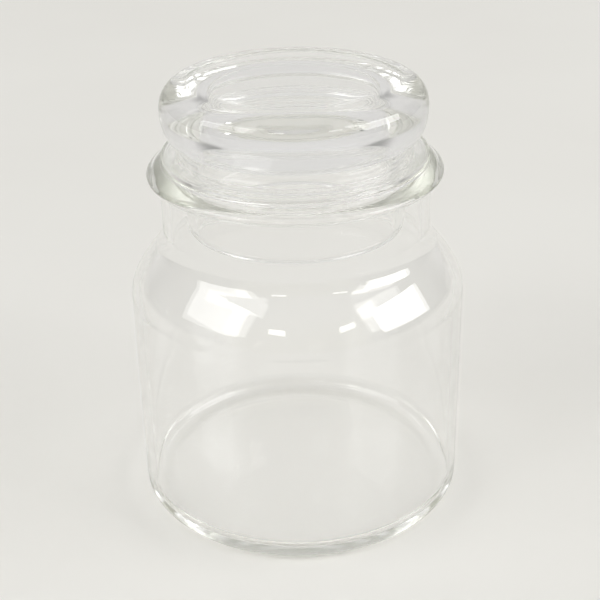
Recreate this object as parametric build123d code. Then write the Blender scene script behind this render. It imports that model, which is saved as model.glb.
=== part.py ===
from build123d import *
import os
from math import cos, radians, sin

# A straight-sided glass storage jar with a pressed glass lid and a soft clear sealing ring.
# Millimetres. The jar stands on z = 0 and every piece is turned about the Z axis.
# Each section is drawn as (radius, height) points on the XZ plane.

# Driving dimensions: the outside of the jar
body_radius = 38.0
neck_radius = 30.0
rim_radius = 32.7
rim_underside_height = 78.8
rim_edge_height = 80.0
rim_underside_blend = 0.8
rim_edge_lean = 0.2
rim_edge_drop = 0.4
rim_slope_foot = (31.2, 81.4)
rim_slope_top = (29.6, 82.3)
mouth_crest_width = 0.7

# Driving dimensions: the shoulder, with its two leans in degrees
shoulder_height = 51.0
shoulder_radius = 10.0
shoulder_lean = 30.5
steepest_lean = 43.0
neck_blend_radius = 7.0

# Driving dimensions: the inside of the jar
wall = 2.0
floor_thickness = 1.9
inner_heel = 3.2
mouth_round = 0.9

# Driving dimensions: the foot
foot_radius = 33.1
foot_width = 1.8
heel_height = 3.8
push_up = 0.9

# Driving dimensions: the lid
lid_height = 100.0
knob_radius = 29.1
knob_edge_height = 94.0
knob_underside_height = 87.6
knob_flat_radius = 23.2
stem_radius = 25.6
stem_height = 3.2
plug_radius = 25.0
plug_foot_radius = 24.2
plug_foot_height = 67.2
plug_foot_round = 1.5
plug_wall = 2.7
cavity_top_height = 92.6
cavity_top_radius = 21.5
cavity_top_round = 4.5

# Driving dimensions: the sealing ring
ring_height = 6.2
ring_flange = 1.5
ring_flange_width = 1.2
ring_web = 1.0
fin_thickness = 0.8
fin_count = 2
fin_end_margin = 0.5

# Gaps: a running fit on the plug and in the neck, and rest gaps between stacked faces
running_gap = 0.05
rest_gap = 0.1

# Worked-out dimensions
inner_radius = body_radius - wall
neck_bore = neck_radius - wall
stem_foot_height = knob_underside_height - stem_height
flange_top = stem_foot_height - rest_gap
flange_underside = flange_top - ring_flange
mouth_height = flange_underside - rest_gap
ring_foot_height = flange_top - ring_height
ring_bore = plug_radius + running_gap
fin_radius = neck_bore - running_gap

# How full a rounded corner is: ELLIPTIC is a quarter of an ellipse, PRESSED is squarer
ELLIPTIC = 0.5523
PRESSED = 0.62


def towards(start, target, share):
    """The point that lies the given share of the way from start to target."""
    return tuple(a + (b - a) * share for a, b in zip(start, target))


def rounded(start, corner, end, fullness=ELLIPTIC):
    """A smooth curve from start to end, tangent to both sides of the corner."""
    return Bezier(start, towards(start, corner, fullness), towards(end, corner, fullness), end)


def chain(start, *curves):
    """The curves in order from start, with a straight line across each gap."""
    edges = []
    here = Vector(*start)
    for curve in curves:
        if (curve @ 0 - here).length > 1e-6:
            edges.append(Line(here, curve @ 0))
        edges.append(curve)
        here = curve @ 1
    return edges


def turned(edges):
    """The solid made by turning a closed section about the Z axis."""
    return revolve(make_face(Plane.XZ * Curve(edges)), Axis.Z)


def outward(lean):
    """The direction straight out of the skin where it leans in by the given angle."""
    return Vector(cos(radians(lean)), sin(radians(lean)))


def uphill(lean):
    """The direction up along the skin where it leans in by the given angle."""
    return Vector(-sin(radians(lean)), cos(radians(lean)))


def slope_radius():
    """The radius of the long arc that spans what the shoulder's two tight arcs leave open."""
    foot = outward(shoulder_lean).X
    top = outward(steepest_lean).X
    span = body_radius - neck_radius - shoulder_radius * (1 - foot) - neck_blend_radius * (1 - top)
    return span / (foot - top)


def shoulder(depth):
    """Edges up the shoulder, at the given depth under the outer skin.

    A convex arc turns in from the side, a long one leans in a little more, and a concave
    one turns up into the neck.
    """
    level = outward(0)
    leaning = outward(shoulder_lean)
    steepest = outward(steepest_lean)
    side = Vector(body_radius, shoulder_height)
    slope_foot = side + (leaning - level) * shoulder_radius
    slope_top = slope_foot + (steepest - leaning) * slope_radius()
    neck_foot = slope_top + (steepest - level) * neck_blend_radius
    side -= level * depth
    slope_foot -= leaning * depth
    slope_top -= steepest * depth
    neck_foot -= level * depth
    return [
        TangentArc(side, slope_foot, tangent=uphill(0)),
        TangentArc(slope_foot, slope_top, tangent=uphill(shoulder_lean)),
        TangentArc(slope_top, neck_foot, tangent=uphill(steepest_lean)),
    ]


def jar_outside():
    """From the middle of the pushed-up base, over the heel, shoulder and rim, to the mouth."""
    foot = (foot_radius, 0)
    heel_top = (body_radius, heel_height)
    blend_foot = (neck_radius, rim_underside_height - rim_underside_blend)
    blend_corner = (neck_radius, rim_underside_height)
    rim_underside = (neck_radius + rim_underside_blend, rim_underside_height)
    rim_edge = (rim_radius, rim_edge_height)
    rim_corner = (rim_radius - rim_edge_lean, rim_slope_foot[1] - rim_edge_drop)
    crest = (neck_bore + mouth_round, mouth_height)
    base = TangentArc((0, push_up), (foot_radius - foot_width, 0), tangent=(1, 0))
    return chain(
        (0, push_up),
        base,
        rounded(foot, (body_radius, 0), heel_top),
        *shoulder(0),
        rounded(blend_foot, blend_corner, rim_underside),
        rounded(rim_underside, (rim_radius, rim_underside_height), rim_edge),
        rounded(rim_edge, rim_corner, rim_slope_foot),
        rounded(rim_slope_top, (crest[0] + mouth_crest_width, mouth_height), crest),
    )


def jar_inside():
    """From the middle of the floor, up the wall and neck, to the crest of the mouth."""
    floor = push_up + floor_thickness
    floor_edge = (inner_radius - inner_heel, floor)
    wall_foot = (inner_radius, floor + inner_heel)
    crest = (neck_bore + mouth_round, mouth_height)
    return chain(
        (0, floor),
        rounded(floor_edge, (inner_radius, floor), wall_foot),
        *shoulder(wall),
        rounded((neck_bore, mouth_height - mouth_round), (neck_bore, mouth_height), crest),
    )


def jar_body():
    """The blown glass jar: foot ring, straight wall, round shoulder, neck and beaded rim."""
    axis = Line((0, push_up), (0, push_up + floor_thickness))
    return turned(jar_outside() + jar_inside() + [axis])


def stopper_lid():
    """The pressed glass lid: a thick flat-topped knob over a hollow tapered plug."""
    top_edge = (knob_flat_radius, lid_height)
    knob_edge = (knob_radius, knob_edge_height)
    stem_top = (stem_radius, knob_underside_height)
    stem_foot = (stem_radius, stem_foot_height)
    plug_outside = (plug_foot_radius, plug_foot_height + plug_foot_round)
    plug_inside = (plug_foot_radius - plug_wall, plug_foot_height + plug_foot_round)
    foot_middle = (plug_foot_radius - plug_wall / 2, plug_foot_height)
    cavity_side = (cavity_top_radius, cavity_top_height - cavity_top_round)
    cavity_flat = (cavity_top_radius - cavity_top_round, cavity_top_height)
    edges = chain(
        (0, lid_height),
        rounded(top_edge, (knob_radius, lid_height), knob_edge, PRESSED),
        rounded(knob_edge, (knob_radius, knob_underside_height), stem_top, PRESSED),
        Line(stem_top, stem_foot),
        Line((plug_radius, stem_foot_height), (plug_radius, ring_foot_height)),
        rounded(plug_outside, (plug_foot_radius, plug_foot_height), foot_middle),
        rounded(foot_middle, (plug_foot_radius - plug_wall, plug_foot_height), plug_inside),
        rounded(cavity_side, (cavity_top_radius, cavity_top_height), cavity_flat),
        Line(cavity_flat, (0, cavity_top_height)),
        Line((0, cavity_top_height), (0, lid_height)),
    )
    return turned(edges)


def sealing_ring():
    """The soft clear ring: a flange on the mouth and a sleeve with fins that press the neck."""
    web_radius = ring_bore + ring_web
    flange_radius = neck_bore + ring_flange_width
    pitch = (flange_underside - ring_foot_height) / (fin_count + fin_end_margin)
    outline = [
        (ring_bore, ring_foot_height),
        (ring_bore, flange_top),
        (flange_radius, flange_top),
        (flange_radius, flange_underside),
        (web_radius, flange_underside),
    ]
    for fin in range(fin_count):
        fin_top = flange_underside - pitch * (fin + 1) + fin_thickness / 2
        outline += [
            (web_radius, fin_top),
            (fin_radius, fin_top),
            (fin_radius, fin_top - fin_thickness),
            (web_radius, fin_top - fin_thickness),
        ]
    outline.append((web_radius, ring_foot_height))
    return turned([Line(a, b) for a, b in zip(outline, outline[1:] + outline[:1])])


os.makedirs("parts", exist_ok=True)
pieces = {
    "jar_body": jar_body,
    "stopper_lid": stopper_lid,
    "sealing_ring": sealing_ring,
}
for name, make in pieces.items():
    piece = make()
    piece.label = name
    export_step(piece, f"parts/{name}.step")
    box = piece.bounding_box()
    print(name, "volume", round(piece.volume), "mm3, z", round(box.min.Z, 2), "to", round(box.max.Z, 2))
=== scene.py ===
"""The look of a lidded glass storage jar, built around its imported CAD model. Metres, +Z up."""

import math

import bpy
from mathutils import Matrix, Vector, noise


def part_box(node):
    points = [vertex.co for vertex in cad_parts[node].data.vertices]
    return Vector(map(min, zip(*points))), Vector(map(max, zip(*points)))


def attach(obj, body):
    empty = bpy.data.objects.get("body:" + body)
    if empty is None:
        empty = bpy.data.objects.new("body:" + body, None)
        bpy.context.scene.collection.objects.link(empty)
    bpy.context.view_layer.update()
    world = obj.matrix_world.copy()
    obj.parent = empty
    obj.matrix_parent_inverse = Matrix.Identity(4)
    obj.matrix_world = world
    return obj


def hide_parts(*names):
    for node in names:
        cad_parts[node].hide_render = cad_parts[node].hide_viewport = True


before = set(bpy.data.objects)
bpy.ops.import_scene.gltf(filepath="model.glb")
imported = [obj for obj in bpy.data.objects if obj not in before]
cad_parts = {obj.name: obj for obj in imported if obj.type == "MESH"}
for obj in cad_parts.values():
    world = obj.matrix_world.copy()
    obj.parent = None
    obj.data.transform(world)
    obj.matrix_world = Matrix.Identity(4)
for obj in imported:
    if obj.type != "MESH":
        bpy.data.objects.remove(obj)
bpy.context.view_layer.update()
MM = 0.001

# What the frame says: the outline radii and the heights where the three pieces meet
JAR_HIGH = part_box("jar_body")[1]
LID_LOW, LID_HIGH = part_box("stopper_lid")
RING_LOW, RING_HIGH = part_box("sealing_ring")
BODY_RADIUS = JAR_HIGH.x
MOUTH_HEIGHT = JAR_HIGH.z
KNOB_RADIUS = LID_HIGH.x
LID_HEIGHT = LID_HIGH.z
PLUG_FOOT = LID_LOW.z
FLANGE_RADIUS = RING_HIGH.x
FLANGE_TOP = RING_HIGH.z
RING_FOOT = RING_LOW.z

# The jar's section
NECK_RADIUS = 30.0 * MM
SHOULDER_HEIGHT = 51.0 * MM
SHOULDER_ARC = 10.0 * MM
SHOULDER_LEAN = math.radians(30.5)
STEEPEST_LEAN = math.radians(43.0)
NECK_BLEND = 7.0 * MM
RIM_RADIUS = 32.7 * MM
RIM_UNDERSIDE = MOUTH_HEIGHT - 3.9 * MM
RIM_EDGE = MOUTH_HEIGHT - 2.7 * MM
RIM_UNDERSIDE_BLEND = 0.8 * MM
RIM_CORNER = (32.5 * MM, MOUTH_HEIGHT - 1.7 * MM)
RIM_SLOPE_FOOT = (31.2 * MM, MOUTH_HEIGHT - 1.3 * MM)
RIM_SLOPE_TOP = (29.6 * MM, MOUTH_HEIGHT - 0.4 * MM)
MOUTH_CREST_WIDTH = 0.7 * MM
MOUTH_ROUND = 0.9 * MM
WALL = 2.0 * MM
NECK_BORE = NECK_RADIUS - WALL
INNER_HEEL = 3.2 * MM
FLOOR_THICKNESS = 1.9 * MM
FOOT_RADIUS = 33.1 * MM
FOOT_WIDTH = 1.8 * MM
HEEL_HEIGHT = 3.8 * MM
PUSH_UP = 0.9 * MM
INNER_RADIUS = BODY_RADIUS - WALL
FLOOR_HEIGHT = PUSH_UP + FLOOR_THICKNESS
WAVY_FOOT = FLOOR_HEIGHT + INNER_HEEL
WAVY_TOP = SHOULDER_HEIGHT + 13 * MM

# The lid's section
KNOB_EDGE = LID_HEIGHT - 6.0 * MM
KNOB_UNDERSIDE = LID_HEIGHT - 12.4 * MM
KNOB_FLAT_RADIUS = 23.2 * MM
STEM_RADIUS = 25.6 * MM
STEM_FOOT = LID_HEIGHT - 15.6 * MM
PLUG_RADIUS = 25.0 * MM
PLUG_FOOT_RADIUS = 24.2 * MM
PLUG_FOOT_ROUND = 1.5 * MM
PLUG_WALL = 2.7 * MM
CAVITY_TOP = LID_HEIGHT - 7.4 * MM
CAVITY_RADIUS = 21.5 * MM
CAVITY_ROUND = 4.5 * MM

# The sealing ring's section
RING_BORE = PLUG_RADIUS + 0.05 * MM
RING_WEB = 1.0 * MM
RING_FLANGE = 1.5 * MM
RING_EDGE_ROUND = 0.25 * MM
FIN_RADIUS = NECK_BORE - 0.05 * MM
FIN_THICKNESS = 0.8 * MM
FIN_COUNT = 2
FIN_END_MARGIN = 0.5

# How full a rounded corner is, as in the CAD model
ELLIPTIC = 0.5523
PRESSED = 0.62

# How finely the pieces are turned and drawn
TURNS = 288
STRAIGHT_STEP = 1.8 * MM
CURVE_STEPS = 18
LONG_ARC_STEPS = 8
KNOB_STEPS = 28
RING_EDGE_STEPS = 4
SHARP_EDGE = math.radians(38)

# The blown wall's waviness: how far it wanders, and its waves to the metre around and up.
# A point further outside the inner wall than the margin is on the outside and stays put.
WANDER = 0.12 * MM
WANDER_MARGIN = 0.1 * MM
WAVES_AROUND = 45
WAVES_UP = 30

# The camera's place and aim
CAMERA_DISTANCE = 6.6241 * BODY_RADIUS
CAMERA_HEIGHT = 4.5951 * BODY_RADIUS
CAMERA_PITCH = 26.9452
CAMERA_YAW = -0.1127
CAMERA_ROLL = -1.1423
CAMERA_LENS = 72.65
CAMERA_SENSOR = 36.0

# The floor: half its width, and how far it lies under the foot
FLOOR_HALF = 15.0
FLOOR_DROP = 0.02 * MM

# The room's colours at the horizon, overhead, behind the camera and to the sides
WALL_COLOUR = (0.71, 0.70, 0.685)
CEILING_COLOUR = (0.77, 0.765, 0.755)
BEHIND_COLOUR = (0.66, 0.65, 0.56)
SIDE_COLOUR = (0.27, 0.27, 0.265)

# Where those colours take over, along X, Y or Z of a direction one unit long
LOW_FROM, LOW_TO = 0.78, 0.50
BEHIND_FROM, BEHIND_TO = -0.10, -0.65
SIDE_FROM, SIDE_TO = 0.62, 0.86

# How far away the lights stand
LIGHT_DISTANCE = 3.0

# How many times light may bounce along the thick glass of the rim and knob
GLASS_BOUNCES = 128


# Sections, as lists of (radius, height) points


def corner(start, control, end, fullness=ELLIPTIC, steps=CURVE_STEPS):
    """Points of a smooth curve from start to end, tangent to both sides of the control corner."""
    start, control, end = Vector(start), Vector(control), Vector(end)
    first = start.lerp(control, fullness)
    second = end.lerp(control, fullness)
    points = []
    for step in range(steps + 1):
        t = step / steps
        u = 1 - t
        points.append(start * u**3 + first * 3 * u * u * t + second * 3 * u * t * t + end * t**3)
    return points


def arc(centre, radius, start_angle, end_angle, steps=CURVE_STEPS):
    """Points of a circular arc between two angles in radians."""
    points = []
    for step in range(steps + 1):
        angle = start_angle + (end_angle - start_angle) * step / steps
        across = radius * math.cos(angle)
        up = radius * math.sin(angle)
        points.append(Vector((centre[0] + across, centre[1] + up)))
    return points


def shoulder(depth):
    """Points up a shoulder at the given depth under the outer skin.

    A convex arc turns in from the side, a long one leans in a little more, and a concave one
    turns up into the neck.
    """
    foot, top = math.cos(SHOULDER_LEAN), math.cos(STEEPEST_LEAN)
    span = BODY_RADIUS - NECK_RADIUS - SHOULDER_ARC * (1 - foot) - NECK_BLEND * (1 - top)
    slope_arc = span / (foot - top)
    middle = Vector((BODY_RADIUS - SHOULDER_ARC, SHOULDER_HEIGHT))
    convex = arc(middle, SHOULDER_ARC - depth, 0, SHOULDER_LEAN)
    middle += (SHOULDER_ARC - slope_arc) * Vector((foot, math.sin(SHOULDER_LEAN)))
    long = arc(middle, slope_arc - depth, SHOULDER_LEAN, STEEPEST_LEAN, LONG_ARC_STEPS)
    middle += (slope_arc + NECK_BLEND) * Vector((top, math.sin(STEEPEST_LEAN)))
    concave = arc(middle, NECK_BLEND + depth, math.pi + STEEPEST_LEAN, math.pi)
    return convex + long + concave


def dome(rise, radius, steps=CURVE_STEPS):
    """Points along a shallow dome from its middle out to its edge at height 0."""
    return [Vector((radius * k / steps, rise * (1 - (k / steps) ** 2))) for k in range(steps + 1)]


def filled(points):
    """The section with its long straight stretches divided, and no point twice."""
    out = [points[0]]
    for point in points[1:]:
        gap = (point - out[-1]).length
        if gap < 1e-7:
            continue
        pieces = max(1, math.ceil(gap / STRAIGHT_STEP))
        last = out[-1]
        out += [last.lerp(point, k / pieces) for k in range(1, pieces + 1)]
    return out


def jar_section():
    """The jar: from the middle of the base round the outside to the mouth and back down inside."""
    crest = (NECK_BORE + MOUTH_ROUND, MOUTH_HEIGHT)
    outside = [
        dome(PUSH_UP, FOOT_RADIUS - FOOT_WIDTH),
        corner((FOOT_RADIUS, 0), (BODY_RADIUS, 0), (BODY_RADIUS, HEEL_HEIGHT)),
        shoulder(0),
        corner(
            (NECK_RADIUS, RIM_UNDERSIDE - RIM_UNDERSIDE_BLEND),
            (NECK_RADIUS, RIM_UNDERSIDE),
            (NECK_RADIUS + RIM_UNDERSIDE_BLEND, RIM_UNDERSIDE),
        ),
        corner(
            (NECK_RADIUS + RIM_UNDERSIDE_BLEND, RIM_UNDERSIDE),
            (RIM_RADIUS, RIM_UNDERSIDE),
            (RIM_RADIUS, RIM_EDGE),
        ),
        corner((RIM_RADIUS, RIM_EDGE), RIM_CORNER, RIM_SLOPE_FOOT),
        corner(RIM_SLOPE_TOP, (crest[0] + MOUTH_CREST_WIDTH, MOUTH_HEIGHT), crest),
    ]
    inside = [
        [Vector((0, FLOOR_HEIGHT))],
        corner(
            (INNER_RADIUS - INNER_HEEL, FLOOR_HEIGHT),
            (INNER_RADIUS, FLOOR_HEIGHT),
            (INNER_RADIUS, FLOOR_HEIGHT + INNER_HEEL),
        ),
        shoulder(WALL),
        corner((NECK_BORE, MOUTH_HEIGHT - MOUTH_ROUND), (NECK_BORE, MOUTH_HEIGHT), crest),
    ]
    up = [point for stretch in outside for point in stretch]
    down = [point for stretch in inside for point in stretch]
    return filled(up + down[::-1])


def lid_section():
    """The lid: from the middle of its flat top round the knob and plug, and up into the hollow."""
    plug_inside = PLUG_FOOT_RADIUS - PLUG_WALL
    foot_middle = PLUG_FOOT_RADIUS - PLUG_WALL / 2
    foot_top = PLUG_FOOT + PLUG_FOOT_ROUND
    knob_flat = (KNOB_FLAT_RADIUS, LID_HEIGHT)
    knob_edge = (KNOB_RADIUS, KNOB_EDGE)
    stem_top = (STEM_RADIUS, KNOB_UNDERSIDE)
    stretches = [
        [Vector((0, LID_HEIGHT))],
        corner(knob_flat, (KNOB_RADIUS, LID_HEIGHT), knob_edge, PRESSED, KNOB_STEPS),
        corner(knob_edge, (KNOB_RADIUS, KNOB_UNDERSIDE), stem_top, PRESSED, KNOB_STEPS),
        [Vector((STEM_RADIUS, STEM_FOOT)), Vector((PLUG_RADIUS, STEM_FOOT))],
        [Vector((PLUG_RADIUS, RING_FOOT))],
        corner((PLUG_FOOT_RADIUS, foot_top), (PLUG_FOOT_RADIUS, PLUG_FOOT), (foot_middle, PLUG_FOOT)),
        corner((foot_middle, PLUG_FOOT), (plug_inside, PLUG_FOOT), (plug_inside, foot_top)),
        corner(
            (CAVITY_RADIUS, CAVITY_TOP - CAVITY_ROUND),
            (CAVITY_RADIUS, CAVITY_TOP),
            (CAVITY_RADIUS - CAVITY_ROUND, CAVITY_TOP),
        ),
        [Vector((0, CAVITY_TOP))],
    ]
    return filled([point for stretch in stretches for point in stretch])


def ring_section():
    """The sealing ring: a flange on the mouth, and a sleeve with fins that press the neck."""
    underside = FLANGE_TOP - RING_FLANGE
    web = RING_BORE + RING_WEB
    pitch = (underside - RING_FOOT) / (FIN_COUNT + FIN_END_MARGIN)
    sharp = [(RING_BORE, RING_FOOT), (RING_BORE, FLANGE_TOP), (FLANGE_RADIUS, FLANGE_TOP)]
    sharp += [(FLANGE_RADIUS, underside), (web, underside)]
    for fin in range(FIN_COUNT):
        top = underside - pitch * (fin + 1) + FIN_THICKNESS / 2
        foot = top - FIN_THICKNESS
        sharp += [(web, top), (FIN_RADIUS, top), (FIN_RADIUS, foot), (web, foot)]
    sharp.append((web, RING_FOOT))
    points = []
    for here in range(len(sharp)):
        control = Vector(sharp[here])
        before = Vector(sharp[here - 1])
        after = Vector(sharp[(here + 1) % len(sharp)])
        start = control + (before - control).normalized() * RING_EDGE_ROUND
        end = control + (after - control).normalized() * RING_EDGE_ROUND
        points += corner(start, control, end, steps=RING_EDGE_STEPS)
    points.append(points[0].copy())
    return points


# Turned pieces


def turned(name, section, sway=None):
    """A mesh object made by turning a section about the Z axis. sway moves each point a little."""
    vertices = []
    rings = []
    closed = (section[0] - section[-1]).length < 1e-9
    drawn = section[:-1] if closed else section
    for radius, height in drawn:
        if radius < 1e-9:
            rings.append([len(vertices)] * TURNS)
            vertices.append(Vector((0, 0, height)))
            continue
        first = len(vertices)
        rings.append(list(range(first, first + TURNS)))
        for step in range(TURNS):
            angle = 2 * math.pi * step / TURNS
            vertices.append(Vector((radius * math.cos(angle), radius * math.sin(angle), height)))
    if closed:
        rings.append(rings[0])
    faces = []
    for lower, upper in zip(rings, rings[1:]):
        for step in range(TURNS):
            following = (step + 1) % TURNS
            loop = [lower[step], lower[following], upper[following], upper[step]]
            faces.append(list(dict.fromkeys(loop)))
    if sway:
        vertices = [sway(vertex) for vertex in vertices]
    mesh = bpy.data.meshes.new(name)
    mesh.from_pydata(vertices, [], faces)
    mesh.update()
    if signed_volume(mesh) < 0:
        mesh.flip_normals()
    for face in mesh.polygons:
        face.use_smooth = True
    mesh.set_sharp_from_angle(angle=SHARP_EDGE)
    piece = bpy.data.objects.new(name, mesh)
    bpy.context.scene.collection.objects.link(piece)
    return piece


def signed_volume(mesh):
    """The volume inside a mesh, negative if its faces look inwards."""
    total = 0.0
    for face in mesh.polygons:
        total += face.center.dot(face.normal) * face.area / 3
    return total


def blown(vertex):
    """The slight unevenness of a blown jar: the inner wall wanders, the outside stays true."""
    radius = math.hypot(vertex.x, vertex.y)
    height = vertex.z
    if height < WAVY_FOOT or height > WAVY_TOP or radius > INNER_RADIUS + WANDER_MARGIN:
        return vertex
    ends = (height - WAVY_FOOT) * (WAVY_TOP - height)
    half = (WAVY_TOP - WAVY_FOOT) / 2
    share = min(1.0, 2 * ends / half**2)
    drift = noise.noise(Vector((vertex.x * WAVES_AROUND, vertex.y * WAVES_AROUND, height * WAVES_UP)))
    move = WANDER * share * drift
    return Vector((vertex.x * (1 + move / radius), vertex.y * (1 + move / radius), height))


# Materials


def new_material(name):
    """An empty node material with its output, as (material, tree, output)."""
    material = bpy.data.materials.new(name)
    material.use_nodes = True
    tree = material.node_tree
    tree.nodes.clear()
    output = tree.nodes.new("ShaderNodeOutputMaterial")
    return material, tree, output


def glass_shader(tree, ior, roughness):
    """A Principled node set up as clear glass."""
    shader = tree.nodes.new("ShaderNodeBsdfPrincipled")
    shader.inputs["Base Color"].default_value = (1, 1, 1, 1)
    shader.inputs["Transmission Weight"].default_value = 1.0
    shader.inputs["IOR"].default_value = ior
    shader.inputs["Roughness"].default_value = roughness
    return shader


def ripples(tree, stretch, scale, distance):
    """A bump normal of long soft ripples, stretched by the given scale on each axis."""
    place = tree.nodes.new("ShaderNodeTexCoord")
    mapping = tree.nodes.new("ShaderNodeMapping")
    mapping.inputs["Scale"].default_value = stretch
    texture = tree.nodes.new("ShaderNodeTexNoise")
    texture.inputs["Scale"].default_value = scale
    texture.inputs["Detail"].default_value = 1.0
    texture.inputs["Roughness"].default_value = 0.35
    bump = tree.nodes.new("ShaderNodeBump")
    bump.inputs["Strength"].default_value = 1.0
    bump.inputs["Distance"].default_value = distance
    tree.links.new(place.outputs["Object"], mapping.inputs["Vector"])
    tree.links.new(mapping.outputs["Vector"], texture.inputs["Vector"])
    tree.links.new(texture.outputs["Fac"], bump.inputs["Height"])
    return bump


def absorb(tree, output, colour, density):
    """Makes the inside of the piece take up a little light along each path."""
    volume = tree.nodes.new("ShaderNodeVolumeAbsorption")
    volume.inputs["Color"].default_value = (*colour, 1)
    volume.inputs["Density"].default_value = density
    tree.links.new(volume.outputs["Volume"], output.inputs["Volume"])


def glass(name, stretch, scale, distance, density):
    """Clear soda glass with a faint green-grey depth and a fire-polished, slightly rippled skin."""
    material, tree, output = new_material(name)
    shader = glass_shader(tree, 1.52, 0.0)
    bump = ripples(tree, stretch, scale, distance)
    tree.links.new(bump.outputs["Normal"], shader.inputs["Normal"])
    tree.links.new(shader.outputs["BSDF"], output.inputs["Surface"])
    absorb(tree, output, (0.62, 0.635, 0.57), density)
    return material


def seal_plastic():
    """The ring's soft clear plastic, a little cloudy, with a fine moulded grain."""
    material, tree, output = new_material("clear_seal_plastic")
    shader = glass_shader(tree, 1.49, 0.06)
    bump = ripples(tree, (1, 1, 1), 900, 0.00001)
    tree.links.new(bump.outputs["Normal"], shader.inputs["Normal"])
    tree.links.new(shader.outputs["BSDF"], output.inputs["Surface"])
    absorb(tree, output, (0.80, 0.83, 0.74), 14.0)
    return material


def tabletop():
    """The pale matt surface that the jar stands on, with a very soft mottle."""
    material, tree, output = new_material("pale_floor")
    shader = tree.nodes.new("ShaderNodeBsdfPrincipled")
    shader.inputs["Roughness"].default_value = 0.85
    shader.inputs["Specular IOR Level"].default_value = 0.2
    place = tree.nodes.new("ShaderNodeTexCoord")
    texture = tree.nodes.new("ShaderNodeTexNoise")
    texture.inputs["Scale"].default_value = 7.0
    texture.inputs["Detail"].default_value = 3.0
    ramp = tree.nodes.new("ShaderNodeValToRGB")
    ramp.color_ramp.elements[0].position = 0.3
    ramp.color_ramp.elements[0].color = (0.765, 0.757, 0.730, 1)
    ramp.color_ramp.elements[1].position = 0.7
    ramp.color_ramp.elements[1].color = (0.785, 0.779, 0.753, 1)
    tree.links.new(place.outputs["Object"], texture.inputs["Vector"])
    tree.links.new(texture.outputs["Fac"], ramp.inputs["Fac"])
    tree.links.new(ramp.outputs["Color"], shader.inputs["Base Color"])
    tree.links.new(shader.outputs["BSDF"], output.inputs["Surface"])
    return material


# The pieces


def add_piece(name, section, material, body, node, sway=None):
    """A turned piece that stands for its CAD node and rides on its body."""
    piece = turned(name, section, sway)
    piece.data.materials.append(material)
    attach(piece, body)
    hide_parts(node)
    return piece


# Stage, light and camera


def floor():
    """A wide pale floor just under the jar."""
    mesh = bpy.data.meshes.new("floor")
    square = [(-1, -1), (1, -1), (1, 1), (-1, 1)]
    corners = [(x * FLOOR_HALF, y * FLOOR_HALF, -FLOOR_DROP) for x, y in square]
    mesh.from_pydata(corners, [], [(0, 1, 2, 3)])
    mesh.materials.append(tabletop())
    ground = bpy.data.objects.new("floor", mesh)
    bpy.context.scene.collection.objects.link(ground)


def fade(tree, value, low, high):
    """A factor that eases from 0 to 1 as the value goes from low to high."""
    node = tree.nodes.new("ShaderNodeMapRange")
    node.interpolation_type = "SMOOTHSTEP"
    node.inputs["From Min"].default_value = low
    node.inputs["From Max"].default_value = high
    tree.links.new(value, node.inputs["Value"])
    return node.outputs["Result"]


def calculated(tree, operation, first, second=None):
    """The result of the named operation on one or two values."""
    node = tree.nodes.new("ShaderNodeMath")
    node.operation = operation
    tree.links.new(first, node.inputs[0])
    if second is not None:
        tree.links.new(second, node.inputs[1])
    return node.outputs["Value"]


def tinted(tree, factor, below, colour):
    """The colour below, turned into the given colour where the factor is 1."""
    node = tree.nodes.new("ShaderNodeMix")
    node.data_type = "RGBA"
    node.inputs["B"].default_value = (*colour, 1)
    tree.links.new(factor, node.inputs["Factor"])
    tree.links.new(below, node.inputs["A"])
    return node.outputs["Result"]


def surroundings():
    """A studio: pale wall behind and ceiling above, darker to both sides and behind the camera."""
    world = bpy.data.worlds.new("studio")
    bpy.context.scene.world = world
    world.use_nodes = True
    tree = world.node_tree
    background = tree.nodes["Background"]
    place = tree.nodes.new("ShaderNodeTexCoord")
    parts = tree.nodes.new("ShaderNodeSeparateXYZ")
    tree.links.new(place.outputs["Generated"], parts.inputs["Vector"])
    sideways = calculated(tree, "ABSOLUTE", parts.outputs["X"])
    low = fade(tree, parts.outputs["Z"], LOW_FROM, LOW_TO)
    beside = fade(tree, sideways, SIDE_FROM, SIDE_TO)
    behind = fade(tree, parts.outputs["Y"], BEHIND_FROM, BEHIND_TO)
    ramp = tree.nodes.new("ShaderNodeValToRGB")
    ramp.color_ramp.elements[0].color = (*WALL_COLOUR, 1)
    ramp.color_ramp.elements[1].color = (*CEILING_COLOUR, 1)
    tree.links.new(parts.outputs["Z"], ramp.inputs["Fac"])
    low_behind = calculated(tree, "MULTIPLY", behind, low)
    low_beside = calculated(tree, "MULTIPLY", beside, low)
    colour = tinted(tree, low_behind, ramp.outputs["Color"], BEHIND_COLOUR)
    colour = tinted(tree, low_beside, colour, SIDE_COLOUR)
    tree.links.new(colour, background.inputs["Color"])


def window(name, azimuth, elevation, wide, high, radiance, swing=0):
    """A soft light that fills the given angles, in degrees. Azimuth 0 is +Y and 90 is +X.

    It faces the jar, unless it is swung about its upright axis.
    """
    around, up = math.radians(azimuth), math.radians(elevation)
    away = Vector((math.sin(around) * math.cos(up), math.cos(around) * math.cos(up), math.sin(up)))
    light = bpy.data.lights.new(name, "AREA")
    light.shape = "RECTANGLE"
    light.size = 2 * LIGHT_DISTANCE * math.tan(math.radians(wide / 2))
    light.size_y = 2 * LIGHT_DISTANCE * math.tan(math.radians(high / 2))
    light.energy = radiance * math.pi * light.size * light.size_y
    lamp = bpy.data.objects.new(name, light)
    facing = (-away).to_track_quat("-Z", "Y").to_matrix()
    turn = Matrix.Rotation(math.radians(swing), 3, "Z")
    lamp.matrix_world = Matrix.Translation(away * LIGHT_DISTANCE) @ (turn @ facing).to_4x4()
    bpy.context.scene.collection.objects.link(lamp)
    return lamp


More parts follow.
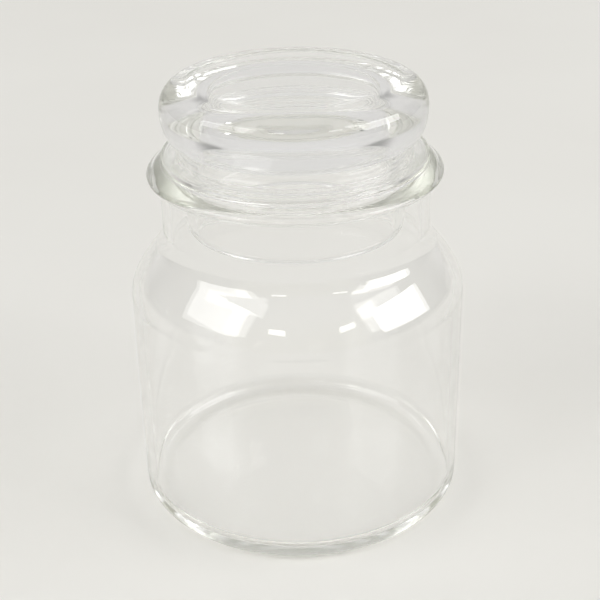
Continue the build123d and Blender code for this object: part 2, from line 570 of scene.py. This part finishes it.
def lights():
    """On each side a window with a dimmer curtain and blind, and two lamps behind the camera.

    The lamps show in the glass and don't light the floor.
    """
    window("window_left", -109, 34, 42, 20, 2.5, 25)
    window("window_right", 96, 24, 42, 20, 4.2, -30)
    window("curtain_left", -134, 38, 14, 18, 1.5)
    window("curtain_right", 122, 34, 12, 20, 1.8)
    window("blind_left", -118, 47, 40, 9, 1.3, 25)
    window("blind_right", 107, 38, 34, 10, 1.5, -30)
    for name, azimuth, elevation in (("lamp_left", -163.5, 37.5), ("lamp_right", 142.5, 36)):
        lamp = window(name, azimuth, elevation, 10, 3.5, 4.5)
        lamp.visible_diffuse = False


def camera():
    """The camera in front of the jar, looking down at it."""
    data = bpy.data.cameras.new("camera")
    data.lens = CAMERA_LENS
    data.sensor_width = CAMERA_SENSOR
    data.clip_start = 0.01
    eye = bpy.data.objects.new("camera", data)
    place = Matrix.Translation((0, -CAMERA_DISTANCE, CAMERA_HEIGHT))
    yaw = Matrix.Rotation(math.radians(CAMERA_YAW), 4, "Z")
    pitch = Matrix.Rotation(math.radians(90 - CAMERA_PITCH), 4, "X")
    roll = Matrix.Rotation(math.radians(CAMERA_ROLL), 4, "Z")
    eye.matrix_world = place @ yaw @ pitch @ roll
    bpy.context.scene.collection.objects.link(eye)
    bpy.context.scene.camera = eye


def light_paths():
    """Lets light go through and along thick glass as far as it really does."""
    scene = bpy.context.scene
    scene.view_settings.view_transform = "Standard"
    cycles = scene.cycles
    cycles.caustics_refractive = True
    cycles.caustics_reflective = True
    cycles.blur_glossy = 0.0
    cycles.max_bounces = GLASS_BOUNCES
    cycles.transmission_bounces = GLASS_BOUNCES
    cycles.glossy_bounces = GLASS_BOUNCES
    cycles.diffuse_bounces = 8
    cycles.transparent_max_bounces = 32


camera()
jar_glass = glass("jar_glass_blown", (1.0, 1.0, 0.35), 60, 0.00004, 6.5)
lid_glass = glass("lid_glass_pressed", (1.0, 1.0, 1.0), 70, 0.000004, 5.5)
add_piece("jar_glass_body", jar_section(), jar_glass, "jar", "jar_body", blown)
add_piece("lid_glass_stopper", lid_section(), lid_glass, "lid", "stopper_lid")
add_piece("clear_sealing_ring", ring_section(), seal_plastic(), "seal", "sealing_ring")
floor()
surroundings()
lights()
light_paths()
